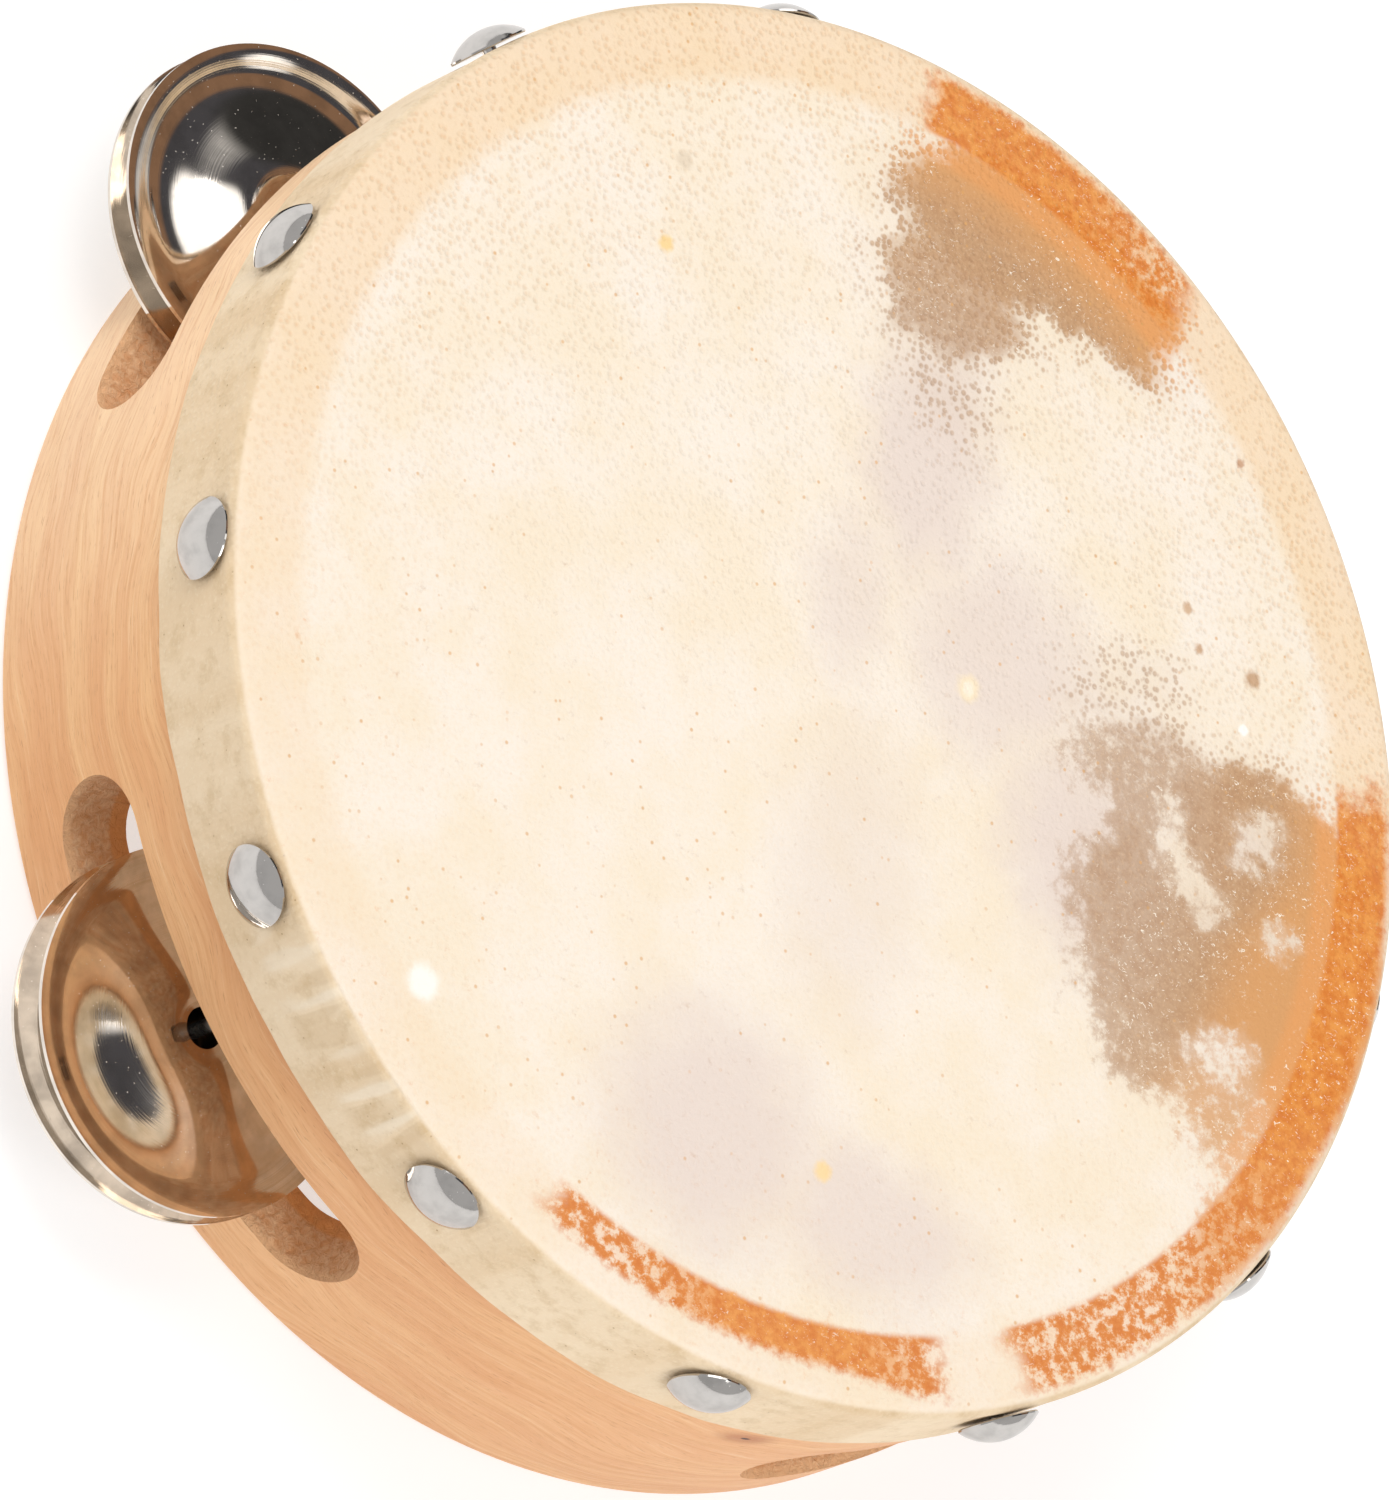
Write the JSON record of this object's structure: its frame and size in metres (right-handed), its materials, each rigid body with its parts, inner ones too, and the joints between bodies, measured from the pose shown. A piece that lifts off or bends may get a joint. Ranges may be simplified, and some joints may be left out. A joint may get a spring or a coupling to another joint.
{
  "type": "tambourine",
  "caption": "Hand tambourine: a bent wooden hoop with a tacked skin head, pairs of loose metal jingles on pins in slots, and an empty grip slot.",
  "frame": {"origin": "on the hoop's axis, at the level of the open rear rim that the tambourine lies on", "axes": "+Z along the hoop's axis, from the open rear rim to the skin head; the empty grip slot is between +X and -Y"},
  "size_m": [0.1557, 0.1553, 0.0432],
  "materials": {
    "beech_wood": "satin",
    "rawhide": "matt natural goat skin",
    "nickel_tack": "polished",
    "nickel_plate": "polished, lightly scratched",
    "steel_nail": "drawn wire"
  },
  "bodies": {
    "hoop_body": {"hoop": "beech_wood", "skin_head": "rawhide", "tack_01": "nickel_tack", "tack_02": "nickel_tack", "tack_03": "nickel_tack", "tack_04": "nickel_tack", "tack_05": "nickel_tack", "tack_06": "nickel_tack", "tack_07": "nickel_tack", "tack_08": "nickel_tack", "tack_09": "nickel_tack", "tack_10": "nickel_tack", "tack_11": "nickel_tack", "tack_12": "nickel_tack", "tack_13": "nickel_tack", "jingle_pin_1": "steel_nail", "jingle_pin_2": "steel_nail", "jingle_pin_3": "steel_nail"},
    "jingle_1_rear_body": {"jingle_1_rear": "nickel_plate"},
    "jingle_1_front_body": {"jingle_1_front": "nickel_plate"},
    "jingle_2_rear_body": {"jingle_2_rear": "nickel_plate"},
    "jingle_2_front_body": {"jingle_2_front": "nickel_plate"},
    "jingle_3_rear_body": {"jingle_3_rear": "nickel_plate"},
    "jingle_3_front_body": {"jingle_3_front": "nickel_plate"}
  },
  "joints": [
    {"name": "jingle_1_spin", "type": "hinge", "parent": "hoop_body", "child": "jingle_1_rear_body", "pos_m": [-0.05641, 0.0436, 0.0101], "axis": [0, 0, 1], "continuous": true},
    {"name": "jingle_1_clap", "type": "slide", "parent": "jingle_1_rear_body", "child": "jingle_1_front_body", "axis": [0, 0, 1], "range_m": [-0.0011, 0.0048]},
    {"name": "jingle_2_spin", "type": "hinge", "parent": "hoop_body", "child": "jingle_2_rear_body", "pos_m": [-0.0534, -0.04725, 0.0101], "axis": [0, 0, 1], "continuous": true},
    {"name": "jingle_2_clap", "type": "slide", "parent": "jingle_2_rear_body", "child": "jingle_2_front_body", "axis": [0, 0, 1], "range_m": [-0.0004, 0.0048]},
    {"name": "jingle_3_spin", "type": "hinge", "parent": "hoop_body", "child": "jingle_3_rear_body", "pos_m": [0.05085, 0.04997, 0.0101], "axis": [0, 0, 1], "continuous": true},
    {"name": "jingle_3_clap", "type": "slide", "parent": "jingle_3_rear_body", "child": "jingle_3_front_body", "axis": [0, 0, 1], "range_m": [-0.0009, 0.0048]}
  ]
}
